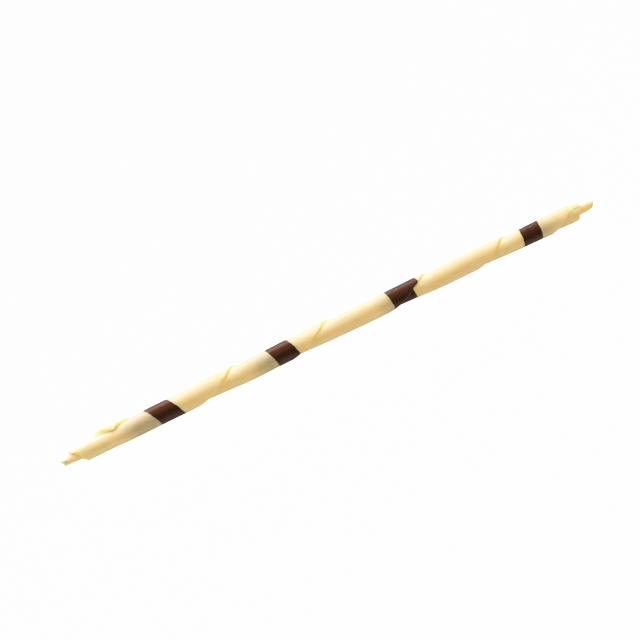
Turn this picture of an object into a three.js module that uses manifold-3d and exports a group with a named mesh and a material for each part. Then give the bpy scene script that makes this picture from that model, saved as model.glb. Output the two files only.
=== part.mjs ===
// A white chocolate stick with four dark chocolate bands.
// A thin striped sheet of chocolate is rolled up slantwise, so its free edge winds along the stick
// as one long seam, and its turns end in steps round a narrow inner roll at both ends.
// Millimetres. x runs along the stick from the thick end to the thin end, z is up, and the stick
// lies on z = 0 on the small flats that it gets where the free edge passes underneath.
// Angles round the stick are in degrees, 0 towards +y and 90 straight up.
import * as THREE from "three";
import Module from "manifold-3d";

const { clamp, degToRad, smoothstep } = THREE.MathUtils;

// Size and shape of the roll
const LENGTH = 200;
const HALF = LENGTH / 2;
const RADIUS = 3.67; // to the outside of the free edge, at mid length
const TAPER = 0.22; // radius lost between mid length and the thin end
const BELLY = 0.1; // radius lost at both ends besides the taper
const SHEET = 0.84; // thickness of the sheet, the step at its free edge
const TUCK = 2.1; // how late the sheet dives under its own edge, where 1 is an even spiral
const BOW = 0.75; // sideways bend over the whole length
const BOW_PEAK = -10;
const FLAT = 0.17; // depth of the flats that the stick rests on
const UNEVEN = 0.05; // hand-rolled waviness of the surface
const LONG_WAVE = { length: 6.1, turns: -2, start: 1.3 };
const SHORT_WAVE = { length: 3.7, turns: 1, start: 0 };

// Seam, the line of the free edge
const SEAM_AT_MIDDLE = -305.4;
const SEAM_TURN = 10.24; // degrees for each millimetre along the stick
const SEAM_TIGHTENING = 0.0118; // more turn towards the thin end, degrees per square millimetre
const SEAM_WANDER = 17.1;
const WANDER_LENGTH = 98.2;
const WANDER_START = 299.7;
const SEAM_AHEAD = 36; // degrees that the seam runs ahead of this where it points towards +y
const EDGE_ROUND = 0.16; // rounding of the free edge
const EDGE_ROUND_TURN = 5;

// Dark bands, placed on the side that the pattern is seen from
const FRONT = 115.6; // angle of that side
const BANDS = [
  { middle: -62.5, width: 8.45, slant: 5.4 }, // slant is the shift along the stick in half a turn
  { middle: -18.6, width: 8.1, slant: 3.5 },
  { middle: 25.7, width: 8.7, slant: 1.5 },
  { middle: 75.0, width: 7.0, slant: -0.9 },
];
const ROOT_GAP = 2; // degrees past the free edge where the colour changes on the turn below

// Ends: the outer turn is cut along a slant from its corner, the others square but tilted.
// The second turn is wound tighter, and lies off centre together with the inner roll.
const OFF_CENTRE_ANGLE = 25.6;
const OUTER_REACH = 97; // half the length of the outer turn before it is cut
const THICK_END = {
  corner: -80,
  cut: -84.9,
  cutSlope: -0.0275, // millimetres along the stick for each degree round it
  // The cut's corner at the free edge: extra reach, degrees over which it is rounded, part kept on
  corners: { reach: 3.35, turn: 22, kept: 1.5 },
  offCentre: -0.35,
  second: { from: -98.5, to: -78, tighter: 0.15, middle: -94.2, tilt: 2.2, tiltAngle: 25.6 },
  inner: { from: -101, to: -90, middle: -99.45, tilt: 0.55, tiltAngle: 60, seam: 128 },
};
const THIN_END = {
  corner: 90.6,
  cut: 90.4,
  cutSlope: 0.0095,
  corners: { reach: -0.6, turn: 20, kept: 0 },
  offCentre: 0.22,
  second: { from: 87.5, to: 97, tighter: 0, middle: 93.6, tilt: 1.1, tiltAngle: 25.6 },
  inner: { from: 90.5, to: 101, middle: 99.1, tilt: 0.9, tiltAngle: 50, seam: 250 },
};
const KEPT_TO = [60, 200]; // degrees back from the free edge over which a cut's kept part runs out
const INNER_RADIUS = 1.85;
const INNER_STEP = 0.35; // step at the inner roll's own edge
const INNER_EDGE_TURN = 2;
const INNER_TIP_LOSS = 0.3; // radius that the inner roll loses over its last stretch
const INNER_TIP = 6;
const CORE_RADIUS = 0.5; // open middle of the inner roll
const CORE_DEPTH = 3;

// The outer turn's corner stands off a little at the thick end
const LIFT = 0.57;
const LIFT_FROM = -74.5;
const LIFT_TO = -82;
const LIFT_HELD = 37; // degrees back from the free edge to where it begins to lie down
const LIFT_TURN = 150; // and to where it lies down again

// Fineness
const RING_STEP = 1.8;
const COLUMNS = 20;
const CUT_COLUMNS = 32;
const SEAM_POINTS = 6;
const CORE_COLUMNS = 12;
const SEARCH_STEPS = 40;

const WHITE = { color: 0xf3e3b4, roughness: 0.42, metalness: 0 };
const DARK = { color: 0x3a2018, roughness: 0.38, metalness: 0 };

const wasm = await Module();
wasm.setup();

// Angle of the free edge at x, counted on without a break from turn to turn
function seamAngle(x) {
  const at = clamp(x, THICK_END.corner, THIN_END.corner);
  const wander = Math.sin(degToRad((360 * at) / WANDER_LENGTH + WANDER_START));
  const turned = SEAM_TURN * at + SEAM_TIGHTENING * at * at - SEAM_WANDER * wander;
  const facing = Math.max(0, Math.cos(degToRad(SEAM_AT_MIDDLE - turned)));
  return SEAM_AT_MIDDLE - turned - SEAM_AHEAD * facing * facing;
}

function edgeRadius(x) {
  const along = x / HALF;
  return RADIUS - TAPER * along - BELLY * along * along;
}

function waviness(x, angle, wave) {
  return Math.sin(x / wave.length + wave.turns * degToRad(angle) + wave.start);
}

// Radius of the surface of a turn: back is the angle from the free edge back along the sheet
function turnRadius(level, back, x) {
  const angle = seamAngle(x) - back;
  const waves = waviness(x, angle, SHORT_WAVE) + waviness(x, angle, LONG_WAVE);
  const tucked = level + (back / 360) ** TUCK;
  return edgeRadius(x) - SHEET * tucked + UNEVEN * waves;
}

function cornerLift(back, x) {
  const along = smoothstep(-x, -LIFT_FROM, -LIFT_TO);
  return LIFT * along * (1 - smoothstep(back, LIFT_HELD, LIFT_TURN));
}

function towards(angle, distance) {
  const turned = degToRad(angle);
  return new THREE.Vector3(0, distance * Math.cos(turned), distance * Math.sin(turned));
}

// Point at an angle round the stick's bowed middle line and at a distance from it
function pointRound(x, angle, radius) {
  const bend = (x - BOW_PEAK) / HALF;
  const middle = new THREE.Vector3(x, BOW * (0.5 - bend * bend), edgeRadius(x) - FLAT);
  return middle.add(towards(angle, radius));
}

// The same for the surface, which goes no lower than the plane that the stick rests on
function surfacePoint(x, angle, radius, offCentre) {
  const point = pointRound(x, angle, radius).add(towards(OFF_CENTRE_ANGLE, offCentre));
  point.z = Math.max(point.z, 0);
  return point;
}

function range(steps, from, to) {
  return Array.from({ length: steps + 1 }, (_, i) => from + ((to - from) * i) / steps);
}

// Angles that go once round, without the first one again at the end
function onceRound(count) {
  return range(count, 0, 360).slice(0, count);
}

function middleOf(points) {
  const sum = points.reduce((total, p) => total.add(p), new THREE.Vector3());
  return sum.divideScalar(points.length);
}

// Closed solid through rings of equally many points, each end shut by a fan
function solidThrough(rings) {
  const across = rings[0].length;
  const points = [...rings.flat(), middleOf(rings[0]), middleOf(rings.at(-1))];
  const first = points.length - 2;
  const last = points.length - 1;
  const top = (rings.length - 1) * across;
  const faces = [];
  for (let j = 0; j < across; j++) {
    const next = (j + 1) % across;
    faces.push(first, next, j);
    faces.push(last, top + j, top + next);
    for (let here = 0; here < top; here += across) {
      const there = here + across;
      faces.push(here + j, here + next, there + j);
      faces.push(here + next, there + next, there + j);
    }
  }
  let volume = 0;
  for (let k = 0; k < faces.length; k += 3) {
    const [a, b, c] = faces.slice(k, k + 3).map((index) => points[index]);
    volume += a.dot(new THREE.Vector3().crossVectors(b, c));
  }
  if (volume < 0) faces.reverse();
  return new wasm.Manifold(
    new wasm.Mesh({
      numProp: 3,
      vertProperties: new Float32Array(points.flatMap((p) => p.toArray())),
      triVerts: new Uint32Array(faces),
    }),
  );
}

// One turn of the roll and all that it holds, from x to x, with the step of its free edge
function turnSolid(level, { from, to, tighter }, offCentre) {
  const backs = [0, ...range(COLUMNS, EDGE_ROUND_TURN, 360)];
  const steps = Math.round((to - from) / RING_STEP);
  return solidThrough(
    range(steps, from, to).map((x) =>
      backs.map((back) => {
        const rounding = back === 0 ? EDGE_ROUND : 0;
        const lift = level === 0 ? cornerLift(back, x) : 0;
        const radius = turnRadius(level, back, x) + lift - rounding - tighter;
        return surfacePoint(x, seamAngle(x) - back, radius, offCentre);
      }),
    ),
  );
}

// The narrow roll that shows at an end, slightly tapered, with a step along its own edge
function innerRoll({ from, to, seam }, offCentre) {
  const steps = Math.round((to - from) / RING_STEP);
  return solidThrough(
    range(steps, from, to).map((x) =>
      range(COLUMNS, 0, 360 - INNER_EDGE_TURN).map((turned) => {
        const tip = INNER_TIP_LOSS * smoothstep(Math.abs(x), HALF - INNER_TIP, HALF);
        const radius = INNER_RADIUS - (INNER_STEP * turned) / 360 - tip;
        return surfacePoint(x, seam - turned, radius, offCentre);
      }),
    ),
  );
}

// Everything beyond a cut, whose place along the stick is given for angles that go once round
function beyond(cut, end) {
  const far = 2 * end;
  const edge = (radius) => cut.map(({ angle, x }) => pointRound(x, angle, radius));
  const outside = cut.map(({ angle }) => pointRound(far, angle, 2 * RADIUS));
  return solidThrough([edge(INNER_RADIUS / 2), edge(2 * RADIUS), outside]);
}

// Slanted cut of the outer turn, with its rounded corner at the free edge
function outerCut(end) {
  return onceRound(CUT_COLUMNS).map((back) => {
    const { reach, turn, kept } = end.corners;
    const corner = reach * Math.exp(-back / turn) + kept * (1 - smoothstep(back, ...KEPT_TO));
    return { angle: seamAngle(end.corner) - back, x: end.cut + end.cutSlope * back + corner };
  });
}

function tiltedCut({ middle, tilt, tiltAngle }) {
  const reach = Math.sign(middle) * tilt;
  return onceRound(CUT_COLUMNS).map((angle) => ({
    angle,
    x: middle + reach * Math.cos(degToRad(angle - tiltAngle)),
  }));
}

// Edge of a band: slantwise over the outer turn, then back along the free edge to its start
function bandCut(middle, slant) {
  const front = FRONT + 360 * Math.floor((seamAngle(middle) - FRONT) / 360);
  const edgeAt = (angle) => middle + (slant * (angle - front)) / 180;
  const meetsSeam = (turnsBack) => {
    let x = middle;
    for (let i = 0; i < SEARCH_STEPS; i++) x = edgeAt(seamAngle(x) - 360 * turnsBack);
    return x;
  };
  const root = meetsSeam(1);
  const tip = meetsSeam(0);
  const start = seamAngle(root) - 360 + ROOT_GAP;
  const runsBack = slant > 0;
  const end = runsBack ? seamAngle(tip) + ROOT_GAP : start + 359;
  const over = range(CUT_COLUMNS, start, end).map((angle) => ({ angle, x: edgeAt(angle) }));
  const along = runsBack ? range(SEAM_POINTS + 1, tip, root).slice(1, -1) : [];
  return [...over, ...along.map((x) => ({ angle: seamAngle(x) + ROOT_GAP, x }))];
}

// Open middle at a tip, narrowing inwards
function core(tip, offCentre) {
  const ring = (x, radius) =>
    onceRound(CORE_COLUMNS).map((angle) => surfacePoint(x, angle, radius, offCentre));
  const inwards = tip - Math.sign(tip) * CORE_DEPTH;
  const outwards = tip + Math.sign(tip);
  return solidThrough([ring(inwards, CORE_RADIUS / 2), ring(outwards, CORE_RADIUS)]);
}

// Second turn and inner roll of one end, each cut back to its own length
function steppedEnd({ second, inner, offCentre }, tip) {
  const turn = turnSolid(1, second, offCentre).subtract(beyond(tiltedCut(second), tip));
  const roll = innerRoll(inner, offCentre).subtract(beyond(tiltedCut(inner), tip));
  return turn.add(roll.subtract(core(tip, offCentre)));
}

function wholeStick() {
  return turnSolid(0, { from: -OUTER_REACH, to: OUTER_REACH, tighter: 0 }, 0)
    .subtract(beyond(outerCut(THICK_END), -HALF))
    .subtract(beyond(outerCut(THIN_END), HALF))
    .add(steppedEnd(THICK_END, -HALF))
    .add(steppedEnd(THIN_END, HALF));
}

// The piece itself, without the crumbs that a cut close to the free edge can leave
function largestBody(solid) {
  return solid.decompose().reduce((best, body) => (body.volume() > best.volume() ? body : best));
}

function meshOf(solid, name, look) {
  const made = solid.getMesh();
  const geometry = new THREE.BufferGeometry();
  geometry.setAttribute("position", new THREE.BufferAttribute(made.vertProperties, 3));
  geometry.setIndex(new THREE.BufferAttribute(made.triVerts, 1));
  geometry.computeVertexNormals();
  const mesh = new THREE.Mesh(geometry, new THREE.MeshStandardMaterial(look));
  mesh.name = name;
  return mesh;
}

// White lengths and dark bands take turns along the stick, each a solid of its own
function stickPieces() {
  const cuts = BANDS.flatMap(({ middle, width, slant }) =>
    [-0.5, 0.5].map((side) => beyond(bandCut(middle + side * width, slant), HALF)),
  );
  const group = new THREE.Group();
  let rest = wholeStick();
  for (let i = 0; i <= cuts.length; i++) {
    const white = i % 2 === 0;
    const name = `${white ? "white_length" : "dark_band"}_${Math.floor(i / 2) + 1}`;
    const piece = i < cuts.length ? rest.subtract(cuts[i]) : rest;
    group.add(meshOf(largestBody(piece), name, white ? WHITE : DARK));
    if (i < cuts.length) rest = rest.intersect(cuts[i]);
  }
  return group;
}

const stick = stickPieces();
const box = new THREE.Box3().setFromObject(stick);
stick.position.set(-(box.min.x + box.max.x) / 2, -(box.min.y + box.max.y) / 2, -box.min.z);

export default stick;
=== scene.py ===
"""A rolled white chocolate stick with dark chocolate bands, finished in Blender."""

import math

import bpy
import numpy as np
from bpy.props import FloatProperty, FloatVectorProperty, PointerProperty
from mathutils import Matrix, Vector


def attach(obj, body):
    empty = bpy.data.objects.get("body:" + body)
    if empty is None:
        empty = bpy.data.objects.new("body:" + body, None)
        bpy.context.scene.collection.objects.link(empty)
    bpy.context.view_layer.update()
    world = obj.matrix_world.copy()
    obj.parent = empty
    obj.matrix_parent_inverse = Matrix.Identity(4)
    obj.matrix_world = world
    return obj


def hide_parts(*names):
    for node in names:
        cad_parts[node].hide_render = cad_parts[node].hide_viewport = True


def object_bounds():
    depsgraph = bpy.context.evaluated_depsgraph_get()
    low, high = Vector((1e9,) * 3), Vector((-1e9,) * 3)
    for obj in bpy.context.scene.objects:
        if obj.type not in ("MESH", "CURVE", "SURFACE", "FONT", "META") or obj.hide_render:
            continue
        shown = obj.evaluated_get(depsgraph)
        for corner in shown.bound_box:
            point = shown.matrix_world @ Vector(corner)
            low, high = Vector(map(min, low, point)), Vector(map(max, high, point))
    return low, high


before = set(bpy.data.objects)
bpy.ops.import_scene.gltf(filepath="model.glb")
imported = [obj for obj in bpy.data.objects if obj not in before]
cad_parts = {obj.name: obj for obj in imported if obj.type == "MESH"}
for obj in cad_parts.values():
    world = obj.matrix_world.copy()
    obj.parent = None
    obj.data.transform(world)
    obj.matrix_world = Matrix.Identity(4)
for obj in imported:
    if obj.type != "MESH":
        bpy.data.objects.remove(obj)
CAD_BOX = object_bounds()

bl_info = {
    "name": "Banded chocolate stick",
    "version": (1, 0, 0),
    "blender": (4, 5, 0),
    "location": "3D View > Sidebar > Chocolate",
    "description": "Rolls up a striped chocolate stick, cuts its stepped ends and colours it",
    "category": "Mesh",
}

MM = 0.001
WHITE_NODES = [f"white_length_{i}" for i in range(1, 6)]
DARK_NODES = [f"dark_band_{i}" for i in range(1, 5)]
STICK = "rolled_stick"

# Directions across the stick, in degrees from the far side upwards
FRONT_ANGLE = 115.6  # faces the camera
RIM_ANGLE = 25.6  # the upper rim as the camera sees it
# the lower front side, away from the light: the dulling over a dark stripe is weighted towards it as
# painted shade
NEAR_SIDE_ANGLE = 165.0  # where the dull tint is strongest

# Stepped ends, in millimetres and degrees. side is -1 at the thick end and 1 at the thin end. The free
# edge ends at corner. The outer turn is cut at cut, which shifts by cut_slope for each degree back from
# the free edge. corners holds how far the corner there reaches, the degrees over which it rounds off, and
# how much more is kept beside it. off_centre is how far the turns inside stand off the middle. The gap
# round them opens over gap_opens along the stick and over gap_from round it. A turn is laid over its span
# and cut at its middle, where the cut is tilted by tilt towards angle.
THICK_END = {
    "name": "thick",
    "side": -1,
    "corner": -80.0,
    "cut": -84.9,
    "cut_slope": -0.0275,
    "corners": (3.35, 22.0, 1.5),
    "off_centre": -0.35,
    "gap_opens": (-80.5, -84.0),
    "gap_from": (60.0, 120.0),
    "second": {"span": (-98.5, -78.0), "tighter": 0.15, "middle": -94.2, "tilt": 2.2, "angle": RIM_ANGLE},
    "inner": {"span": (-101.0, -90.0), "middle": -99.45, "tilt": 0.55, "angle": 60, "seam": 128},
}
THIN_END = {
    "name": "thin",
    "side": 1,
    "corner": 90.6,
    "cut": 90.4,
    "cut_slope": 0.0095,
    "corners": (-0.6, 20.0, 0.0),
    "off_centre": 0.22,
    "gap_opens": (88.6, 90.6),
    "gap_from": (15.0, 70.0),
    "second": {"span": (87.5, 97.0), "tighter": 0.0, "middle": 93.6, "tilt": 1.1, "angle": RIM_ANGLE},
    "inner": {"span": (90.5, 101.0), "middle": 99.1, "tilt": 0.9, "angle": 50, "seam": 250},
}
OFF_CENTRE_ANGLE = RIM_ANGLE  # towards which the inner turns stand off centre
OUTER_REACH = 97.0  # half the length of the outer turn before it is cut
TIP = 100.0  # half the length of the stick
INNER_RADIUS = 1.85
INNER_STEP = 0.35  # step at the inner roll's own edge
INNER_TIP_LOSS = 0.3  # radius that the inner roll loses over its last stretch
INNER_TIP = 6.0  # length of that stretch

# Course of the seam, hand-rolled waves, bow and the corner that stands off
SEAM_TIGHTENING = 0.0118  # more turn towards the thin end, degrees per square millimetre
WANDER_LENGTH = 98.2  # millimetres along the stick for one swing of the seam's slow wander
WANDER_START = 299.7
SHORT_WAVE = 3.7  # lengths of the waves, each for one radian
LONG_WAVE = 6.1
LONG_WAVE_START = 1.3
RIPPLE_SHARE = 0.35  # of the waves' height
BOW_PEAK = -10.0
LIFT_SPAN = (74.5, 82.0)  # distance from mid length over which the corner rises
LIFT_TURN = (37.0, 150.0)  # degrees back from the free edge over which it lies down again
KEPT_TURN = (60.0, 200.0)  # degrees back over which a cut's kept part runs out

# The grids that the pieces are laid on, and the details that are cut into them
RING_STEP = 0.3
QUARTER = (0.0, 30.0, 60.0, 90.0)  # points on the rounding of the free edge
UNDER_COLUMNS = 12  # columns where the sheet dives under its own edge
UNDER_FROM = 338.0
FILL_TURN = (343.0, 361.0)  # degrees back over which the foot of the free edge is rounded out
FILL_SPANS = ((-77.0, -72.0), (86.0, 90.0))  # where that starts and ends along the stick
EDGE_ENDS = ((75.0, 79.0), (86.0, 89.5))  # where the free edge moves aside close to the ends
EDGE_SHIFT = (-1.7, 4.0)  # degrees that it moves there, on the outer and on the second turn
COVERED_ROUNDING = 0.15  # share of the rounding that the second turn's edge keeps at the thick end
WALL = 0.86  # share of the sheet that is left outside the gap
GAP_DEPTH = 0.9  # how far the gap reaches into the second turn before that is laid in
GAP_CLOSED = 0.004
COLOUR_LAG = 2.0  # degrees past the free edge where the colour changes on the turn below
SLIT_DEPTH = 1.8
CORE_DEPTH = 3.5
SMOOTH_ANGLE = 38  # sharper edges stay sharp
FULL_DEPTH = 2.0  # below the outer turn, where the depth mask reaches 1

# Stage
FLOOR_SIZE = 12.0
WORLD_COLOUR = (1.02, 1.10, 0.90, 1.0)
CAMERA_AIM = (-1.67, 4.85, 3.63)  # in millimetres
CURVE_SHARES = (-0.5, 0.0, 0.15, 0.3, 0.5, 0.7, 0.85)  # points from below the highlights' start to white


class StickSizes(bpy.types.PropertyGroup):
    """Sizes of the roll, its seam and its bands."""

    radius: FloatProperty(
        name="Radius",
        description="To the outside of the free edge, at mid length",
        default=0.00367,
        unit="LENGTH",
    )
    taper: FloatProperty(
        name="Taper",
        description="Radius lost from mid length to the thin end",
        default=0.00022,
        unit="LENGTH",
    )
    belly: FloatProperty(
        name="Belly",
        description="Radius lost at both ends besides the taper",
        default=0.0001,
        unit="LENGTH",
    )
    sheet: FloatProperty(
        name="Sheet", description="Thickness of the rolled sheet", default=0.00084, unit="LENGTH"
    )
    tuck: FloatProperty(
        name="Tuck",
        description="How late the sheet dives under its own edge, 1 is an even spiral",
        default=2.1,
    )
    bow: FloatProperty(
        name="Bow", description="Sideways bend over the whole length", default=0.00075, unit="LENGTH"
    )
    flat: FloatProperty(
        name="Flat",
        description="Depth of the flats that the stick rests on",
        default=0.00017,
        unit="LENGTH",
    )
    uneven: FloatProperty(
        name="Unevenness",
        description="Waviness of the hand-rolled surface",
        default=0.00005,
        unit="LENGTH",
    )
    edge_gap: FloatProperty(
        name="Edge gap",
        description="Thickness of the gap where it closes",
        default=0.000012,
        unit="LENGTH",
    )
    seam_fill: FloatProperty(
        name="Seam fill",
        description="Chocolate that rounds out the foot of the free edge",
        default=0.00034,
        unit="LENGTH",
    )
    edge_round: FloatProperty(
        name="Edge rounding",
        description="Rounding of the sheet's edges",
        default=0.00014,
        unit="LENGTH",
    )
    flap: FloatProperty(
        name="Flap",
        description="How far the corner at the thick end stands off",
        default=0.00057,
        unit="LENGTH",
    )
    seam_angle: FloatProperty(
        name="Seam angle",
        description="Place of the free edge at mid length",
        default=math.radians(-305.4),
        unit="ROTATION",
    )
    seam_turn: FloatProperty(
        name="Seam turn",
        description="Turn of the free edge for each millimetre",
        default=math.radians(10.24),
        unit="ROTATION",
    )
    seam_wander: FloatProperty(
        name="Seam wander",
        description="Slow wander of the free edge",
        default=math.radians(17.1),
        unit="ROTATION",
    )
    seam_ahead: FloatProperty(
        name="Seam ahead",
        description="How far the free edge runs ahead at the far side",
        default=math.radians(36.0),
        unit="ROTATION",
    )
    band_middles: FloatVectorProperty(
        name="Band middles",
        description="Places of the dark bands along the stick",
        size=4,
        default=(-0.0625, -0.0186, 0.0257, 0.075),
        unit="LENGTH",
    )
    band_widths: FloatVectorProperty(
        name="Band widths",
        description="Widths of the dark bands",
        size=4,
        default=(0.00845, 0.0081, 0.0087, 0.007),
        unit="LENGTH",
    )
    band_slants: FloatVectorProperty(
        name="Band slants",
        description="Shift of each band along the stick in half a turn",
        size=4,
        default=(0.0054, 0.0035, 0.0015, -0.0009),
        unit="LENGTH",
    )


class StickColours(bpy.types.PropertyGroup):
    """Colours of the chocolate and of the floor."""

    white: FloatVectorProperty(
        name="White chocolate",
        description="Ivory of the white chocolate",
        subtype="COLOR",
        default=(0.79, 0.502, 0.217),
    )
    # Painted warm shade and glow: the colour laid in the crease at the foot of the free edge, on the walls
    # of the gap, on the step past the thin end's cut and a little on the turns below, where light comes
    # through the sheet into shade
    painted_warm_shade: FloatVectorProperty(
        name="Golden",
        description="Deeper colour in the seam and at thin edges",
        subtype="COLOR",
        default=(0.92, 0.58, 0.155),
    )
    lit_edge: FloatVectorProperty(
        name="Lit edge",
        description="Thin free edge, bright with light that comes through",
        subtype="COLOR",
        default=(1.0, 0.80, 0.40),
    )
    tip: FloatVectorProperty(
        name="Tip",
        description="Paler colour of the narrow inner roll",
        subtype="COLOR",
        default=(0.77, 0.585, 0.31),
    )
    # The dark stripe below showing through; its mask also makes the dulling painted shade, weaker on the
    # upper side where the light falls and strongest on the lower front side.
    shadowed: FloatVectorProperty(
        name="Shine-through",
        description="Dulls the white chocolate where a dark stripe lies under it",
        subtype="COLOR",
        default=(0.50, 0.585, 0.74),
    )
    dark: FloatVectorProperty(
        name="Dark chocolate",
        description="Brown of the dark chocolate",
        subtype="COLOR",
        default=(0.0096, 0.0021, 0.0020),
    )
    dark_worn: FloatVectorProperty(
        name="Dark worn",
        description="Lighter brown of rubbed spots",
        subtype="COLOR",
        default=(0.018, 0.0060, 0.0040),
    )
    floor: FloatVectorProperty(
        name="Floor",
        description="Colour of the plain floor",
        subtype="COLOR",
        default=(0.93, 0.93, 0.93),
    )


class StageSizes(bpy.types.PropertyGroup):
    """Place of the camera and strength of the light."""

    azimuth: FloatProperty(
        name="Azimuth",
        description="Camera's turn round the stick",
        default=math.radians(-29.2),
        unit="ROTATION",
    )
    elevation: FloatProperty(
        name="Elevation",
        description="Camera's angle above the floor",
        default=math.radians(61.0),
        unit="ROTATION",
    )
    distance: FloatProperty(
        name="Distance", description="From the camera to the stick", default=1.2, unit="LENGTH"
    )
    lens: FloatProperty(name="Lens", description="Focal length in millimetres", default=205.95)
    key_light: FloatProperty(
        name="Key light", description="Power of the soft light behind", default=16.4, unit="POWER"
    )
    top_light: FloatProperty(
        name="Top light", description="Power of the soft light above", default=5.5, unit="POWER"
    )
    high_light: FloatProperty(
        name="High light",
        description="Power of the soft light high up behind",
        default=5.9,
        unit="POWER",
    )
    floor_glow: FloatProperty(
        name="Floor glow",
        description="Brightening of floor and surroundings for the camera, which softens shadows",
        default=2.4,
    )
    surroundings: FloatProperty(name="Surroundings", description="Brightness all round", default=0.584)
    shoulder: FloatProperty(
        name="Highlight start",
        description="Brightness from which highlights are softened",
        default=0.364,
    )
    white_point: FloatProperty(
        name="White point", description="Brightness that shows as pure white", default=2.2
    )


def smoothstep(value, low, high):
    t = np.clip((value - low) / (high - low), 0.0, 1.0)
    return t * t * (3.0 - 2.0 * t)


def cosd(angle):
    return np.cos(np.radians(angle))


def sind(angle):
    return np.sin(np.radians(angle))


def ring_places(span):
    """Places of the rings along the stick, as a column."""
    return np.linspace(*span, int(round((span[1] - span[0]) / RING_STEP)) + 1)[:, None]


def tip_loss(x):
    """Radius that the inner roll loses close to a tip."""
    return INNER_TIP_LOSS * smoothstep(np.abs(x), TIP - INNER_TIP, TIP)


def ripple(x, angle):
    """Small smooth unevenness between -1 and 1 over the surface, closed round the stick."""
    a = np.radians(angle)
    waves = 0.34 * np.sin(2.1 * x + 3 * a) + 0.28 * np.sin(3.4 * x - 4 * a + 1.1)
    waves += 0.22 * np.sin(1.3 * x + 7 * a + 2.3) + 0.16 * np.sin(5.9 * x + 2 * a + 0.4)
    return waves


class Roll:
    """The rolled sheet as functions of the place along the stick, in millimetres and degrees."""

    def __init__(self, sizes):
        self.radius = sizes.radius / MM
        self.taper = sizes.taper / MM
        self.belly = sizes.belly / MM
        self.sheet = sizes.sheet / MM
        self.tuck = sizes.tuck
        self.bow = sizes.bow / MM
        self.flat = sizes.flat / MM
        self.uneven = sizes.uneven / MM
        self.edge_gap = sizes.edge_gap / MM
        self.edge_round = sizes.edge_round / MM
        self.seam_fill = sizes.seam_fill / MM
        self.flap = sizes.flap / MM
        self.seam = math.degrees(sizes.seam_angle)
        self.turn = math.degrees(sizes.seam_turn)
        self.wander = math.degrees(sizes.seam_wander)
        self.ahead = math.degrees(sizes.seam_ahead)
        self.bands = [
            (middle / MM, width / MM, slant / MM)
            for middle, width, slant in zip(sizes.band_middles, sizes.band_widths, sizes.band_slants)
        ]

    def seam_angle(self, x):
        """Angle of the free edge, counted on from turn to turn."""
        at = np.clip(x, THICK_END["corner"], THIN_END["corner"])
        slow = self.wander * sind(360.0 * at / WANDER_LENGTH + WANDER_START)
        angle = self.seam - self.turn * at - SEAM_TIGHTENING * at * at + slow
        return angle - self.ahead * np.maximum(cosd(angle), 0.0) ** 2

    def front_angle(self, x):
        """Angle of the side that faces the camera, the last time round before the free edge at x."""
        return FRONT_ANGLE + 360.0 * math.floor((float(self.seam_angle(x)) - FRONT_ANGLE) / 360.0)

    def edge_radius(self, x):
        along = x / TIP
        return self.radius - self.taper * along - self.belly * along * along

    def turn_radius(self, level, back, x):
        """Radius of a turn's surface, back degrees along the sheet from the free edge."""
        angle = self.seam_angle(x) - back
        a = np.radians(angle)
        waves = np.sin(x / SHORT_WAVE + a) + np.sin(x / LONG_WAVE - 2 * a + LONG_WAVE_START)
        dive = self.sheet * (level + (np.maximum(back, 0.0) / 360.0) ** self.tuck)
        return self.edge_radius(x) - dive + self.uneven * (waves + RIPPLE_SHARE * ripple(x, angle))

    def lift(self, back, x):
        """How far the flap at the thick end stands off."""
        return self.flap * smoothstep(-x, *LIFT_SPAN) * (1.0 - smoothstep(back, *LIFT_TURN))

    def outer_surface(self, back, x):
        """Radius of the outer turn, back degrees along the sheet from the free edge."""
        return self.turn_radius(0, back, x) + self.lift(back, x)

    def middle_line(self, x):
        """Sideways place of the bowed middle line."""
        bend = (x - BOW_PEAK) / TIP
        return self.bow * (0.5 - bend * bend)

    def point(self, x, angle, radius, off_centre=0.0, rests=True):
        """Points round the bowed middle line, no lower than the floor where the stick rests."""
        x, angle, radius = np.broadcast_arrays(x, angle, radius)
        y = self.middle_line(x) + radius * cosd(angle) + off_centre * cosd(OFF_CENTRE_ANGLE)
        z = self.edge_radius(x) - self.flat + radius * sind(angle) + off_centre * sind(OFF_CENTRE_ANGLE)
        return np.stack([x, y, np.maximum(z, 0.0) if rests else z], axis=-1)

    def place_on_sheet(self, points):
        """Degrees back from the free edge and radius of points, from their place in space."""
        x, y, z = points.T
        across = y - self.middle_line(x)
        up = z - self.edge_radius(x) + self.flat
        back = (self.seam_angle(x) - np.degrees(np.arctan2(up, across))) % 360.0
        return back, np.hypot(across, up)


def deselect():
    """Leaves edit mode and deselects everything."""
    if bpy.context.object and bpy.context.object.mode != "OBJECT":
        bpy.ops.object.mode_set(mode="OBJECT")
    bpy.ops.object.select_all(action="DESELECT")


def make_active(piece):
    deselect()
    piece.select_set(True)
    bpy.context.view_layer.objects.active = piece


def loft(name, rings):
    """A closed solid through rings of points: a grid laid on them, joined at its sides and filled."""
    count, across = rings.shape[:2]
    deselect()
    bpy.ops.mesh.primitive_grid_add(x_subdivisions=across, y_subdivisions=count - 1, size=1)
    piece = bpy.context.object
    piece.name = name
    laid = np.concatenate([rings, rings[:, :1]], axis=1)
    piece.data.vertices.foreach_set("co", laid.reshape(-1).astype(np.float32))
    piece.data.update()
    bpy.ops.object.mode_set(mode="EDIT")
    bpy.ops.mesh.select_all(action="SELECT")
    bpy.ops.mesh.remove_doubles(threshold=1e-5)
    bpy.ops.mesh.select_all(action="DESELECT")
    bpy.ops.mesh.select_mode(type="EDGE")
    bpy.ops.mesh.select_non_manifold(extend=False)
    bpy.ops.mesh.fill_holes(sides=0)
    bpy.ops.mesh.select_mode(type="VERT")
    bpy.ops.mesh.select_all(action="SELECT")
    bpy.ops.mesh.normals_make_consistent(inside=False)
    bpy.ops.object.mode_set(mode="OBJECT")
    return piece


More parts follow.
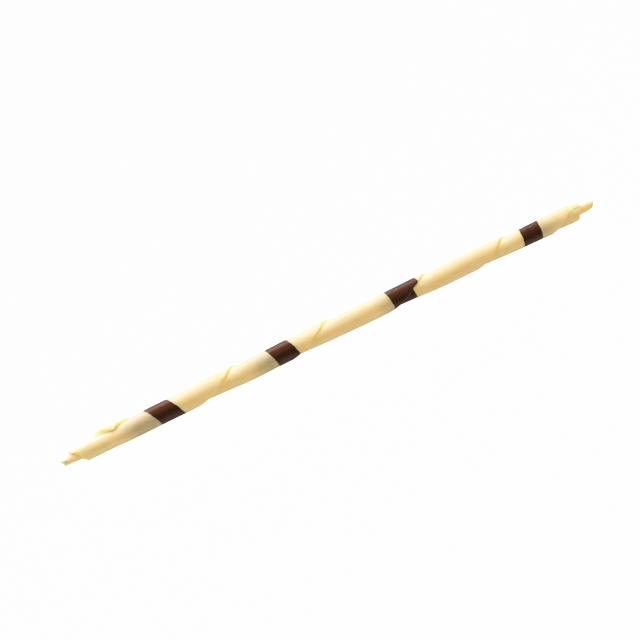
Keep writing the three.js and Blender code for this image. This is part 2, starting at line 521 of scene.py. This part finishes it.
def combine(piece, other, operation, keep=False):
    """Joins other to piece, cuts it away, or keeps what they share."""
    make_active(piece)
    modifier = piece.modifiers.new("Combine", "BOOLEAN")
    modifier.operation = operation
    modifier.solver = "MANIFOLD"
    modifier.object = other
    bpy.ops.object.modifier_apply(modifier=modifier.name)
    if not len(piece.data.polygons):
        raise RuntimeError(f"{piece.name} is empty after {operation} with {other.name}")
    if not keep:
        discard(other)


def discard(piece):
    mesh = piece.data
    bpy.data.objects.remove(piece)
    bpy.data.meshes.remove(mesh)


def copy_of(piece, name):
    copy = piece.copy()
    copy.data = piece.data.copy()
    copy.name = name
    bpy.context.scene.collection.objects.link(copy)
    return copy


def sheet_columns():
    """Degrees back from the free edge for the columns of a turn, closer together near it."""
    near = np.arange(4.0, 22.0, 2.0)
    far = np.arange(22.0, UNDER_FROM, 3.0)
    under = np.linspace(UNDER_FROM, 360.0, UNDER_COLUMNS)
    return np.concatenate([near, far, under])


def turn_rings(roll, level, span, tighter, off_centre):
    """Rings of one turn of the roll and all that it holds, with the rounded step of its free edge."""
    xs = ring_places(span)
    soft = roll.edge_round * (1.0 + 0.35 * np.sin(1.9 * xs) * np.sin(0.7 * xs + 1.0))
    if level:
        soft = np.where(xs < 0, COVERED_ROUNDING * soft, soft)
    quarter = np.array(QUARTER)[None, :]
    round_back = np.degrees(soft * (1.0 - cosd(quarter)) / roll.radius)
    round_drop = soft * (1.0 - sind(quarter))
    columns = sheet_columns()[None, :] + np.zeros_like(xs)
    backs = np.concatenate([round_back, columns], axis=1)
    radius = roll.turn_radius(level, backs, xs) - tighter
    radius[:, : len(QUARTER)] -= round_drop
    if level == 0:
        filled = smoothstep(xs, *FILL_SPANS[0]) * (1.0 - smoothstep(xs, *FILL_SPANS[1]))
        radius = radius + roll.lift(backs, xs) + roll.seam_fill * filled * smoothstep(backs, *FILL_TURN)
    root = radius[:, -1:]
    face = root + (radius[:, :1] - root) * np.array([[0.35, 0.7]])
    radius = np.concatenate([face, radius], axis=1)
    backs = np.concatenate([np.zeros_like(face), backs], axis=1)
    ragged = 1.1 * np.sin(1.7 * xs) * np.sin(0.61 * xs + 0.5) + 0.5 * np.sin(4.3 * xs)
    near_end = np.maximum(smoothstep(-xs, *EDGE_ENDS[0]), smoothstep(xs, *EDGE_ENDS[1]))
    ragged = ragged + EDGE_SHIFT[level] * near_end
    angle = roll.seam_angle(xs) - backs + ragged * np.exp(-backs / 12.0) * (backs < 180.0)
    under = np.s_[:, -UNDER_COLUMNS:]
    angle[under] += ragged * np.exp((backs[under] - 360.0) / 4.0)
    return roll.point(xs, angle, radius, off_centre)


def gap_rings(roll, end):
    """Rings of the gap between the outer and the second turn, which opens towards an end."""
    side = end["side"]
    start = abs(end["gap_opens"][0])
    xs = side * np.arange(start - RING_STEP, OUTER_REACH + 1.0, RING_STEP)[:, None]
    opens = smoothstep(side * xs, start, abs(end["gap_opens"][1]))
    share = np.concatenate([np.linspace(0.0, 0.06, 8)[:-1], np.linspace(0.06, 1.0, 60)])[None, :]
    back = 3.0 + (7.0 + 320.0 * opens) * share
    closing = np.sqrt(np.clip(1.0 - share, 0.0, 1.0) * np.clip(share / 0.04, 0.0, 1.0))
    below = roll.turn_radius(0, 360.0 + back, xs)
    slit = below + roll.edge_gap * closing + GAP_CLOSED
    inside = roll.outer_surface(back, xs) - WALL * roll.sheet
    roof = slit + (np.maximum(inside, slit) - slit) * opens * smoothstep(back, *end["gap_from"])
    deep = np.minimum(below, roll.turn_radius(1, back, xs) - GAP_DEPTH)
    floor = below + (deep - below) * opens * smoothstep(back, *end["gap_from"])
    angles = roll.seam_angle(xs) - back
    top = roll.point(xs, angles, roof, rests=False)
    bottom = roll.point(xs, angles, floor, rests=False)
    return np.concatenate([top, bottom[:, ::-1]], axis=1)


def inner_rings(roll, end):
    """Rings of the narrow roll that shows at an end."""
    inner = end["inner"]
    xs = ring_places(inner["span"])
    turned = np.linspace(0.0, 358.0, 100)[None, :]
    angles = inner["seam"] - turned
    soft = 0.1 * np.clip(1.0 - turned / 5.0, 0.0, 1.0) ** 2
    radius = INNER_RADIUS - INNER_STEP * turned / 360.0 - tip_loss(xs) - soft + 0.02 * ripple(xs, angles)
    return roll.point(xs, angles, radius, end["off_centre"])


def scroll_rings(roll, end):
    """Rings of the spiral slit that shows on the face of a tip."""
    xs = end["side"] * np.linspace(TIP + 2.0, TIP - SLIT_DEPTH, 16)[:, None]
    turned = np.linspace(2.0, 470.0, 120)[None, :]
    angles = end["inner"]["seam"] - turned
    depth = smoothstep(np.abs(xs), TIP - SLIT_DEPTH, TIP - 0.6)
    outer = INNER_RADIUS - INNER_TIP_LOSS - INNER_STEP * turned / 360.0
    outer = outer - 0.46 * smoothstep(turned, 0.0, 60.0) - 0.25 * smoothstep(turned, 240.0, 470.0)
    width = (0.05 + 0.13 * depth) * (0.6 + 0.4 * np.sin(np.radians(turned * 1.3 + 40.0)) ** 2)
    top = roll.point(xs, angles, outer + 0.5 * width, end["off_centre"], rests=False)
    bottom = roll.point(xs, angles, outer - 0.5 * width, end["off_centre"], rests=False)
    return np.concatenate([top, bottom[:, ::-1]], axis=1)


def core_rings(roll, end):
    """Rings of the open middle at a tip, narrowing inwards."""
    xs = end["side"] * np.linspace(TIP - CORE_DEPTH, TIP + 1.0, 8)[:, None]
    angle = np.arange(0.0, 360.0, 10.0)[None, :]
    uneven = 1.0 + 0.16 * cosd(2 * angle + 30.0) + 0.1 * cosd(3 * angle)
    radius = np.linspace(0.16, 0.42, 8)[:, None] * uneven
    return roll.point(xs, angle, radius, end["off_centre"], rests=False)


def cutter(roll, name, angles, places, side, surface=None, off_centre=0.0, rounding=0.0):
    """Everything beyond a cut that goes once round, whose rim is rounded where it meets the surface."""
    rings = [(places, np.full_like(places, 0.5 * INNER_RADIUS))]
    if surface is not None and rounding > 0:
        for down in np.linspace(1.0, 0.0, 7):
            inwards = rounding * (1.0 - math.sqrt(max(1.0 - (1.0 - down) ** 2, 0.0)))
            rings.append((places - side * inwards, surface - rounding * down))
    rings.append((rings[-1][0], np.full_like(places, 2.0 * roll.radius)))
    rings.append((np.full_like(places, side * 2.0 * TIP), np.full_like(places, 2.0 * roll.radius)))
    points = [roll.point(x, angles, radius, off_centre, rests=False) for x, radius in rings]
    return loft(name, np.stack(points))


def cut_place(end, back):
    """Where the outer turn is cut, with the rounded corner at its free edge."""
    reach, turn, kept = end["corners"]
    corner = reach * np.exp(-back / turn) + kept * (1.0 - smoothstep(back, *KEPT_TURN))
    return end["cut"] + end["cut_slope"] * back + corner


def outer_cut(roll, end):
    """Slanted, slightly ragged cut of the outer turn."""
    back = np.concatenate([np.arange(0.0, 40.0, 1.5), np.arange(40.0, 359.0, 2.5)])
    ragged = 0.10 * np.sin(back / 7.0) + 0.07 * np.sin(back / 3.1 + 1.0) + 0.05 * np.sin(back / 17.0)
    places = cut_place(end, back) + ragged
    surface = roll.outer_surface(back, places)
    angles = roll.seam_angle(end["corner"]) - back
    name = f"outer_cut_{end['name']}"
    return cutter(roll, name, angles, places, end["side"], surface, rounding=roll.edge_round)


def tilted_place(end, key, angles):
    """Where the second turn or the inner roll is cut, tilted and slightly ragged."""
    part = end[key]
    ragged = 0.09 * sind(3 * angles + 20.0) + 0.06 * sind(7 * angles) + 0.04 * sind(13 * angles + 50.0)
    return part["middle"] + end["side"] * part["tilt"] * cosd(angles - part["angle"]) + ragged


def tilted_cut(roll, end, key):
    """Everything beyond the second turn or the inner roll."""
    part = end[key]
    angles = np.arange(0.0, 360.0, 3.0)
    places = tilted_place(end, key, angles)
    if key == "second":
        back = (roll.seam_angle(places) - angles) % 360.0
        surface = roll.turn_radius(1, back, places) - part["tighter"]
    else:
        turned = (part["seam"] - angles) % 360.0
        surface = INNER_RADIUS - INNER_STEP * turned / 360.0 - tip_loss(places)
    name = f"{key}_cut_{end['name']}"
    return cutter(roll, name, angles, places, end["side"], surface, end["off_centre"], roll.edge_round)


def band_cut(roll, name, middle, slant):
    """Edge of a band: slantwise over the outer turn, then back along the free edge to its start."""
    front = roll.front_angle(middle)

    def edge_at(angle):
        return middle + slant * (angle - front) / 180.0

    def meets_seam(turns_back):
        x = middle
        for _ in range(60):
            x = edge_at(float(roll.seam_angle(x)) - 360.0 * turns_back)
        return x

    root, tip = meets_seam(1), meets_seam(0)
    start = float(roll.seam_angle(root)) - 360.0 + COLOUR_LAG
    end = float(roll.seam_angle(tip)) + COLOUR_LAG if slant > 0 else start + 359.0
    angles = np.linspace(start, end, 140)
    fade = smoothstep(angles, start, start + 20.0) * (1.0 - smoothstep(angles, end - 20.0, end))
    ragged = 0.09 * np.sin(angles / 5.3 + middle) * np.sin(angles / 13.7) + 0.08 * np.sin(angles / 19.0)
    ragged = ragged + 0.03 * np.sin(angles / 2.3 + middle) * np.sin(angles / 9.1 + 1.0)
    places = edge_at(angles) + ragged * fade
    if slant > 0:
        along = np.linspace(tip, root, 24)[1:-1]
        angles = np.concatenate([angles, roll.seam_angle(along) + COLOUR_LAG])
        places = np.concatenate([places, along])
    return cutter(roll, name, angles, places, 1)


def largest_part(piece):
    """Keeps the piece's main body and drops the crumbs that a cut near the free edge leaves."""
    make_active(piece)
    bpy.ops.object.mode_set(mode="EDIT")
    bpy.ops.mesh.select_all(action="SELECT")
    bpy.ops.mesh.separate(type="LOOSE")
    bpy.ops.object.mode_set(mode="OBJECT")
    parts = list(bpy.context.selected_objects)
    main = max(parts, key=lambda part: len(part.data.vertices))
    for part in parts:
        if part is not main:
            discard(part)
    return main


def settle(piece, name, shift):
    """Brings a finished piece from millimetres to its place in metres, with its place in its mesh."""
    make_active(piece)
    piece.name = name
    piece.data.name = name
    piece.location = shift
    piece.scale = (MM, MM, MM)
    bpy.ops.object.transform_apply(location=True, rotation=True, scale=True)
    bpy.ops.object.shade_smooth_by_angle(angle=math.radians(SMOOTH_ANGLE))
    return piece


def stripe_and_shade_under(roll, x, angle):
    """How strongly a dark stripe on the turn below dulls the surface, with painted shade: weaker on the
    upper side where the light falls, strongest on the lower front side.
    """
    under = np.zeros(len(x))
    for middle, width, slant in roll.bands:
        centre = middle + slant * (angle - roll.front_angle(middle)) / 180.0 - slant
        half = 0.5 * width + abs(slant)
        past = (x - centre) * math.copysign(1.0, slant)
        covered = 1.0 - smoothstep(past, half - 1.2, half + 1.0)
        reach = 4.5 if slant > 0 else 8.0
        under = np.maximum(under, covered * (1.0 - smoothstep(-past, half - 5.0, half + reach)))
    # painted shade: the dulling is weighted towards the lower front side, away from the light
    return under * (0.45 + 0.55 * smoothstep(cosd(angle - NEAR_SIDE_ANGLE), -0.25, 0.75))


def crease_glow_beside_seam(x, back, angle):
    """Painted warm shade and glow in the crease beside the free edge, on the turn that dives under it,
    strongest on the upper rim where the light falls.
    """
    near = smoothstep(back, 328.0, 348.0) * (1.0 - smoothstep(back, 356.0, 359.5))
    near = near * smoothstep(x, -81.5, -77.0)
    # painted light: weighted towards the upper rim, the side the light falls on
    return near * (0.3 + 0.7 * smoothstep(cosd(angle - RIM_ANGLE), -0.25, 0.2))


def edge_glow_faces(x, back, angle, radius, depth, inside):
    """Painted glow on the narrow faces where the sheet ends, at its free edge and at its cuts, brighter
    towards the upper rim where the light falls.
    """
    faces = np.maximum(1.0 - smoothstep(back, 1.0, 3.0), smoothstep(back, 357.0, 359.5)) * inside
    # painted light: the glow is weighted towards the upper rim
    faces = faces * (0.2 + 0.8 * smoothstep(cosd(angle - RIM_ANGLE), -0.1, 0.5))
    for end in (THICK_END, THIN_END):
        from_outer = np.abs(x - cut_place(end, back))
        from_second = np.abs(x - tilted_place(end, "second", angle))
        faces = np.maximum(faces, (from_outer < 0.3) & (depth > 0.1))
        faces = np.maximum(faces, 0.3 * ((from_second < 0.15) & (radius > INNER_RADIUS + 0.2)))
    return faces


def add_masks(piece, roll, shift):
    """Stores on the points what the materials need to know of their place on the rolled sheet."""
    count = len(piece.data.vertices)
    co = np.empty(count * 3, np.float32)
    piece.data.vertices.foreach_get("co", co)
    points = (co.reshape(-1, 3).astype(float) - np.array(shift)) / MM
    back, radius = roll.place_on_sheet(points)
    x = points[:, 0]
    angle = roll.seam_angle(x) - back
    depth = roll.outer_surface(back, x) - radius
    inside = (x > THICK_END["cut"]) & (x < THIN_END["cut"])
    # painted shade: warm colour at the foot of the step past the thin end's cut and on the walls of the gap
    # below the outer turn, besides the crease at the free edge
    past = x - cut_place(THIN_END, back)
    step_shade_beyond_cut = np.exp(-np.abs(past) / 2.2) * (past > 0.05)
    gap_wall_shade = inside & (depth > 0.3) & (back > 3.0) & (back < 330.0)
    values = {
        "painted_edge_glow": edge_glow_faces(x, back, angle, radius, depth, inside),
        "stripe_and_shade_under": stripe_and_shade_under(roll, x, angle) * inside,
        "painted_seam_and_gap_shade": np.maximum(np.maximum(crease_glow_beside_seam(x, back, angle) * inside, step_shade_beyond_cut), gap_wall_shade),
        "depth": np.clip(depth / FULL_DEPTH, 0.0, 1.0),
    }
    for name, value in values.items():
        layer = piece.data.attributes.new(name, "FLOAT", "POINT")
        layer.data.foreach_set("value", value.astype(np.float32))
    layer = piece.data.attributes.new("sheet_place", "FLOAT_VECTOR", "POINT")
    laid = np.stack([x, np.radians(back) * roll.radius, np.zeros(count)], axis=1)
    layer.data.foreach_set("vector", laid.astype(np.float32).reshape(-1))


class NodeSheet:
    """Adds shader nodes to a tree, laid out in columns."""

    def __init__(self, tree):
        self.tree = tree
        self.count = 0

    def add(self, kind, **inputs):
        node = self.tree.nodes.new(kind)
        node.location = (220 * (self.count // 4), -260 * (self.count % 4))
        self.count += 1
        for key, value in inputs.items():
            self.feed(node.inputs[key], value)
        return node

    def link(self, source, target):
        self.tree.links.new(source, target)

    def feed(self, socket, value):
        """Gives a socket its value: another socket, a number or a colour."""
        if isinstance(value, bpy.types.NodeSocket):
            self.link(value, socket)
        elif isinstance(value, tuple) and socket.type == "RGBA":
            socket.default_value = (*value, 1.0)
        else:
            socket.default_value = value

    def math(self, operation, first, second):
        node = self.add("ShaderNodeMath")
        node.operation = operation
        for socket, value in zip(node.inputs, (first, second)):
            self.feed(socket, value)
        return node.outputs[0]

    def spread(self, value, low, high, out_low, out_high):
        """Maps low to high smoothly to out_low to out_high, and stays within them."""
        node = self.add("ShaderNodeMapRange", Value=value)
        node.clamp = True
        node.interpolation_type = "SMOOTHSTEP"
        limits = {"From Min": low, "From Max": high, "To Min": out_low, "To Max": out_high}
        for key, number in limits.items():
            node.inputs[key].default_value = number
        return node.outputs["Result"]

    def blend(self, factor, first, second, mode="MIX"):
        node = self.add("ShaderNodeMix")
        node.data_type = "RGBA"
        node.blend_type = mode
        colour_inputs = [s for s in node.inputs if s.type == "RGBA"]
        for socket, value in zip([node.inputs[0], *colour_inputs], (factor, first, second)):
            self.feed(socket, value)
        return next(s for s in node.outputs if s.type == "RGBA")

    def noise(self, vector, scale, detail, roughness):
        values = {"Vector": vector, "Scale": scale, "Detail": detail, "Roughness": roughness}
        return self.add("ShaderNodeTexNoise", **values).outputs["Fac"]

    def mapping(self, vector, scale):
        return self.add("ShaderNodeMapping", Vector=vector, Scale=scale).outputs["Vector"]

    def attribute(self, name):
        """A value that add_masks stored on the points."""
        node = self.add("ShaderNodeAttribute")
        node.attribute_type = "GEOMETRY"
        node.attribute_name = name
        return node

    def camera_only(self, strength):
        """A strength that only the camera sees, so that it lights nothing."""
        seen = self.add("ShaderNodeLightPath").outputs["Is Camera Ray"]
        return self.math("MULTIPLY", seen, strength)


def chocolate_grain():
    """Node group shared by both chocolates: cloudy mottling, faint rolling streaks and their relief."""
    group = bpy.data.node_groups.new("Chocolate grain", "ShaderNodeTree")
    faces = group.interface
    faces.new_socket(name="Place", in_out="INPUT", socket_type="NodeSocketVector")
    faces.new_socket(name="Sheet Place", in_out="INPUT", socket_type="NodeSocketVector")
    for name in ("Cloud Scale", "Streak Relief", "Grain Relief"):
        faces.new_socket(name=name, in_out="INPUT", socket_type="NodeSocketFloat")
    for name in ("Clouds", "Streaks", "Relief"):
        faces.new_socket(name=name, in_out="OUTPUT", socket_type="NodeSocketFloat")
    sheet = NodeSheet(group)
    given = sheet.add("NodeGroupInput")
    result = sheet.add("NodeGroupOutput")
    place, on_sheet = given.outputs["Place"], given.outputs["Sheet Place"]
    clouds = sheet.noise(place, given.outputs["Cloud Scale"], 3.0, 0.55)
    streaks = sheet.noise(sheet.mapping(on_sheet, (3.2, 0.28, 1.0)), 1.0, 4.0, 0.6)
    grain = sheet.noise(place, 5200.0, 3.0, 0.6)
    lumps = sheet.noise(place, 900.0, 2.0, 0.5)
    relief = sheet.math("MULTIPLY", streaks, given.outputs["Streak Relief"])
    fine = sheet.math("MULTIPLY", sheet.math("ADD", grain, lumps), given.outputs["Grain Relief"])
    sheet.link(clouds, result.inputs["Clouds"])
    sheet.link(streaks, result.inputs["Streaks"])
    sheet.link(sheet.math("ADD", relief, fine), result.inputs["Relief"])
    return group


def chocolate_material(name, grain, cloud_scale, streak_relief, grain_relief):
    """Makes a material with the shared grain in place. Returns its sheet, its shader and the grain."""
    material = bpy.data.materials.new(name)
    material.use_nodes = True
    tree = material.node_tree
    tree.nodes.clear()
    sheet = NodeSheet(tree)
    output = sheet.add("ShaderNodeOutputMaterial")
    shader = sheet.add("ShaderNodeBsdfPrincipled")
    sheet.link(shader.outputs["BSDF"], output.inputs["Surface"])
    texture = sheet.add("ShaderNodeTexCoord")
    used = sheet.add("ShaderNodeGroup")
    used.node_tree = grain
    sheet.link(texture.outputs["Object"], used.inputs["Place"])
    sheet.link(sheet.attribute("sheet_place").outputs["Vector"], used.inputs["Sheet Place"])
    used.inputs["Cloud Scale"].default_value = cloud_scale
    used.inputs["Streak Relief"].default_value = streak_relief
    used.inputs["Grain Relief"].default_value = grain_relief
    bump = sheet.add("ShaderNodeBump", Strength=1.0, Distance=0.0001)
    sheet.link(used.outputs["Relief"], bump.inputs["Height"])
    sheet.link(bump.outputs["Normal"], shader.inputs["Normal"])
    return sheet, shader, used


def white_chocolate(colours, grain):
    """Ivory, waxy and slightly see-through, with painted warm shade and glow in the crease of the seam, in
    the gap and on the turns below, a painted glow on the edge faces, and dull over a dark stripe, which is
    partly painted shade on the lower front side.
    """
    sheet, shader, used = chocolate_material("White chocolate", grain, 260.0, 0.25, 0.12)
    clouds, streaks = used.outputs["Clouds"], used.outputs["Streaks"]
    depth, painted_seam_and_gap_shade, painted_edge_glow, stripe = (
        sheet.attribute(name).outputs["Fac"] for name in ("depth", "painted_seam_and_gap_shade", "painted_edge_glow", "stripe_and_shade_under")
    )
    ivory = tuple(colours.white)
    creamy = tuple(c * k for c, k in zip(ivory, (0.97, 0.955, 0.90)))
    colour = sheet.blend(sheet.spread(clouds, 0.35, 0.65, 0.0, 1.0), ivory, creamy)
    colour = sheet.blend(sheet.spread(streaks, 0.45, 0.75, 0.0, 0.25), colour, creamy)
    colour = sheet.blend(sheet.spread(depth, 0.72, 0.85, 0.0, 1.0), colour, tuple(colours.tip))
    # painted warm shade and glow: the crease beside the free edge, the gap walls, the step past the thin
    # cut, and a little on the turns below the outer turn
    seam = sheet.math("MAXIMUM", painted_seam_and_gap_shade, sheet.spread(depth, 0.12, 0.4, 0.0, 0.08))
    colour = sheet.blend(sheet.math("MULTIPLY", seam, 0.9), colour, tuple(colours.painted_warm_shade))
    # painted glow of light coming through the thin edge faces
    colour = sheet.blend(painted_edge_glow, colour, tuple(colours.lit_edge))
    # the dark stripe below showing through, weighted as painted shade towards the lower front side
    under = sheet.math("MULTIPLY", stripe, sheet.spread(clouds, 0.3, 0.7, 0.82, 0.94))
    colour = sheet.blend(under, colour, tuple(colours.shadowed), "MULTIPLY")
    sheet.link(colour, shader.inputs["Base Color"])
    sheet.link(sheet.spread(clouds, 0.3, 0.7, 0.40, 0.52), shader.inputs["Roughness"])
    shader.inputs["IOR"].default_value = 1.45
    shader.inputs["Specular IOR Level"].default_value = 0.88
    shader.inputs["Subsurface Weight"].default_value = 1.0
    shader.inputs["Subsurface Radius"].default_value = (1.0, 0.55, 0.2)
    shader.inputs["Subsurface Scale"].default_value = 0.0018


def dark_chocolate(colours, grain):
    """Deep brown with a soft, slightly brown sheen and paler rubbed spots."""
    sheet, shader, used = chocolate_material("Dark chocolate", grain, 420.0, 0.3, 0.16)
    clouds = used.outputs["Clouds"]
    worn = sheet.spread(clouds, 0.4, 0.75, 0.0, 0.7)
    colour = sheet.blend(worn, tuple(colours.dark), tuple(colours.dark_worn))
    sheet.link(colour, shader.inputs["Base Color"])
    sheet.link(sheet.spread(clouds, 0.3, 0.7, 0.31, 0.39), shader.inputs["Roughness"])
    shader.inputs["IOR"].default_value = 1.5
    shader.inputs["Specular IOR Level"].default_value = 0.42
    shader.inputs["Specular Tint"].default_value = (1.0, 0.37, 0.14, 1.0)


def material_named(name):
    found = bpy.data.materials.get(name)
    if found is None:
        raise RuntimeError(f"the material {name} is missing: mix the chocolates first")
    return found


class CHOCOLATE_OT_materials(bpy.types.Operator):
    """Mix the white and the dark chocolate"""

    bl_idname = "chocolate.materials"
    bl_label = "Mix the chocolates"

    def execute(self, context):
        grain = chocolate_grain()
        white_chocolate(context.scene.stick_colours, grain)
        dark_chocolate(context.scene.stick_colours, grain)
        return {"FINISHED"}


class CHOCOLATE_OT_roll(bpy.types.Operator):
    """Roll up the whole stick, with its seam and its stepped ends"""

    bl_idname = "chocolate.roll"
    bl_label = "Roll the stick"

    def execute(self, context):
        roll = Roll(context.scene.stick_sizes)
        stick = loft(STICK, turn_rings(roll, 0, (-OUTER_REACH, OUTER_REACH), 0.0, 0.0))
        for end in (THICK_END, THIN_END):
            combine(stick, outer_cut(roll, end), "DIFFERENCE")
        for end in (THICK_END, THIN_END):
            combine(stick, loft("gap", gap_rings(roll, end)), "DIFFERENCE")
            second = end["second"]
            rings = turn_rings(roll, 1, second["span"], second["tighter"], end["off_centre"])
            turn = loft("second_turn", rings)
            combine(turn, tilted_cut(roll, end, "second"), "DIFFERENCE")
            narrow = loft("inner_roll", inner_rings(roll, end))
            combine(narrow, tilted_cut(roll, end, "inner"), "DIFFERENCE")
            combine(narrow, loft("scroll", scroll_rings(roll, end)), "DIFFERENCE")
            combine(narrow, loft("core", core_rings(roll, end)), "DIFFERENCE")
            combine(turn, narrow, "UNION")
            combine(stick, turn, "UNION")
        return {"FINISHED"}


class CHOCOLATE_OT_bands(bpy.types.Operator):
    """Part the rolled stick into its white lengths and dark bands"""

    bl_idname = "chocolate.bands"
    bl_label = "Part the bands"

    def execute(self, context):
        roll = Roll(context.scene.stick_sizes)
        rest = bpy.data.objects.get(STICK)
        if rest is None:
            raise RuntimeError("roll the stick first")
        corners = np.array([v.co for v in rest.data.vertices])
        middle = 0.5 * (corners.min(0) + corners.max(0)) * MM
        cad_middle = 0.5 * (Vector(CAD_BOX[0]) + Vector(CAD_BOX[1]))
        shift = (cad_middle.x - middle[0], cad_middle.y - middle[1], 0.0)
        nodes = [node for pair in zip(WHITE_NODES, DARK_NODES) for node in pair] + WHITE_NODES[-1:]
        cuts = []
        for number, (place, width, slant) in enumerate(roll.bands, 1):
            cuts.append(band_cut(roll, f"band_{number}_near", place - 0.5 * width, slant))
            cuts.append(band_cut(roll, f"band_{number}_far", place + 0.5 * width, slant))
        for number, node in enumerate(nodes):
            piece = rest
            if number < len(cuts):
                piece = copy_of(rest, node)
                combine(piece, cuts[number], "DIFFERENCE", keep=True)
                combine(rest, cuts[number], "INTERSECT")
            white = node in WHITE_NODES
            name = node.replace("_length_", "_roll_").replace("_band_", "_stripe_")
            piece = settle(largest_part(piece), name, shift)
            add_masks(piece, roll, shift)
            piece.data.materials.clear()
            piece.data.materials.append(material_named("White chocolate" if white else "Dark chocolate"))
            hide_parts(node)
            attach(piece, "root")
        return {"FINISHED"}


def soft_light(name, place, size, power, tint):
    """A rectangular light that points at the stick."""
    deselect()
    bpy.ops.object.light_add(type="AREA", location=place)
    light = bpy.context.object
    light.name = name
    light.rotation_euler = (Vector((0, 0, 0)) - Vector(place)).to_track_quat("-Z", "Y").to_euler()
    light.data.shape = "RECTANGLE"
    light.data.size, light.data.size_y = size
    light.data.energy = power
    light.data.color = tint


def soften_highlights(view, start, white):
    """Bends the picture's brightness from start on, so that it reaches the white point slowly."""
    steepness = (white - start) / (1.0 - start)
    view.use_curve_mapping = True
    mapping = view.curve_mapping
    mapping.white_level = (white, white, white)
    curve = mapping.curves[3]
    curve.points[0].location = (0.0, 0.0)
    curve.points[-1].location = (1.0, 1.0)
    for share in CURVE_SHARES:
        level = start + share * (white - start) if share > 0 else start * (1.0 + share)
        shown = level if share <= 0 else start + (1.0 - start) * (1.0 - (1.0 - share) ** steepness)
        curve.points.new(level / white, shown)
    mapping.update()


def plain_floor(stage, colours):
    deselect()
    bpy.ops.mesh.primitive_plane_add(size=FLOOR_SIZE, location=(0, 0, 0))
    floor = bpy.context.object
    floor.name = "floor"
    material = bpy.data.materials.new("Plain floor")
    material.use_nodes = True
    sheet = NodeSheet(material.node_tree)
    shader = material.node_tree.nodes["Principled BSDF"]
    shader.inputs["Base Color"].default_value = (*colours.floor, 1.0)
    shader.inputs["Roughness"].default_value = 0.9
    shader.inputs["Emission Color"].default_value = (1.0, 1.0, 1.0, 1.0)
    sheet.link(sheet.camera_only(stage.floor_glow), shader.inputs["Emission Strength"])
    floor.data.materials.append(material)


def pale_surroundings(scene, stage):
    world = bpy.data.worlds.new("Soft surroundings")
    scene.world = world
    world.use_nodes = True
    background = world.node_tree.nodes["Background"]
    background.inputs["Color"].default_value = WORLD_COLOUR
    sheet = NodeSheet(world.node_tree)
    strength = sheet.math("ADD", sheet.camera_only(stage.floor_glow), stage.surroundings)
    sheet.link(strength, background.inputs["Strength"])


def place_camera(scene, stage):
    data = bpy.data.cameras.new("camera")
    camera = bpy.data.objects.new("camera", data)
    scene.collection.objects.link(camera)
    data.sensor_width = 36.0
    data.lens = stage.lens
    data.clip_start = 0.01
    data.clip_end = 20.0
    turn, rise = stage.azimuth, stage.elevation
    back = Vector((math.sin(turn) * math.cos(rise), -math.cos(turn) * math.cos(rise), math.sin(rise)))
    camera.location = Vector(CAMERA_AIM) * MM + stage.distance * back
    camera.rotation_euler = (-back).to_track_quat("-Z", "Y").to_euler()
    scene.camera = camera


class CHOCOLATE_OT_stage(bpy.types.Operator):
    """Set up the pale floor, the soft light and the camera"""

    bl_idname = "chocolate.stage"
    bl_label = "Set the stage"

    def execute(self, context):
        scene = context.scene
        stage = scene.stick_stage
        plain_floor(stage, scene.stick_colours)
        pale_surroundings(scene, stage)
        soft_light("key", (-0.15, 0.75, 0.42), (1.1, 0.5), stage.key_light, (0.90, 0.90, 1.10))
        soft_light("top", (0, 0.1, 1.2), (1.0, 1.0), stage.top_light, (1.01, 1.03, 0.96))
        soft_light("high", (-0.1, 0.75, 0.95), (1.2, 0.6), stage.high_light, (1.0, 0.96, 1.03))
        scene.view_settings.view_transform = "Standard"
        soften_highlights(scene.view_settings, stage.shoulder, stage.white_point)
        place_camera(scene, stage)
        return {"FINISHED"}


class CHOCOLATE_PT_sidebar(bpy.types.Panel):
    """Lists the steps and the sizes"""

    bl_idname = "CHOCOLATE_PT_sidebar"
    bl_label = "Chocolate stick"
    bl_space_type = "VIEW_3D"
    bl_region_type = "UI"
    bl_category = "Chocolate"

    def draw(self, context):
        layout = self.layout
        for operator in STEPS:
            layout.operator(operator.bl_idname)
        for group in (context.scene.stick_sizes, context.scene.stick_colours, context.scene.stick_stage):
            box = layout.box()
            for name in group.__annotations__:
                box.prop(group, name)


STEPS = (CHOCOLATE_OT_materials, CHOCOLATE_OT_roll, CHOCOLATE_OT_bands, CHOCOLATE_OT_stage)
GROUPS = {"stick_sizes": StickSizes, "stick_colours": StickColours, "stick_stage": StageSizes}


def register():
    for cls in (*GROUPS.values(), *STEPS, CHOCOLATE_PT_sidebar):
        bpy.utils.register_class(cls)
    for name, group in GROUPS.items():
        setattr(bpy.types.Scene, name, PointerProperty(type=group))


def unregister():
    for name in GROUPS:
        delattr(bpy.types.Scene, name)
    for cls in reversed((*GROUPS.values(), *STEPS, CHOCOLATE_PT_sidebar)):
        bpy.utils.unregister_class(cls)


def main():
    """Runs every step in order."""
    register()
    bpy.ops.chocolate.materials()
    bpy.ops.chocolate.roll()
    bpy.ops.chocolate.bands()
    bpy.ops.chocolate.stage()
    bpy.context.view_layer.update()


if __name__ == "__main__":
    main()
